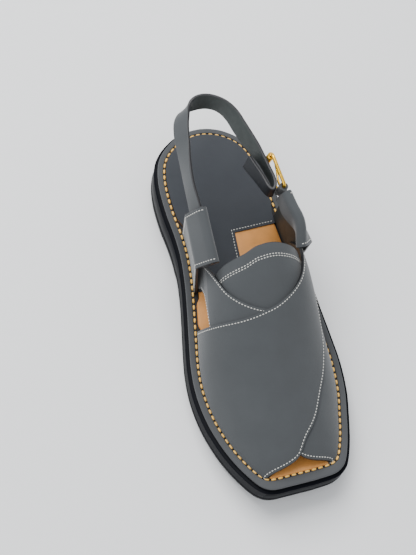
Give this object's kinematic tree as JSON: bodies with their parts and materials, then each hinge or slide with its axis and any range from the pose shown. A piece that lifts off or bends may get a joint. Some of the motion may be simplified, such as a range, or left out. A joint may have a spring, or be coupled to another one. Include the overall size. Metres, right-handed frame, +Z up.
{
  "type": "peshawari chappal",
  "caption": "Open-backed leather sandal with two crossing panels, an open square toe, a stitched welt and a buckled back strap.",
  "frame": {"origin": "on the floor, under the middle of the sole", "axes": "-Y towards the toe, +Y towards the heel, -X towards the inner side of the foot, +Z up"},
  "size_m": [0.1158, 0.292, 0.096],
  "materials": {
    "sole_rubber": "moulded black rubber with a dull sheen",
    "welt_leather": "grey nubuck covering the welt",
    "insole_leather": "smooth tan leather",
    "nubuck": "grey nubuck with black painted edges",
    "brass": "polished yellow brass"
  },
  "bodies": {
    "root": {"outsole": "sole_rubber", "welt": "welt_leather", "insole": "insole_leather", "heel_sock": "nubuck", "upper": "nubuck", "tongue": "nubuck", "strap_loop_inner": "nubuck", "strap_loop_outer": "nubuck", "back_strap": "nubuck", "buckle_chape": "nubuck", "buckle_frame": "brass", "buckle_roller": "brass", "buckle_prong": "brass"}
  },
  "joints": []
}
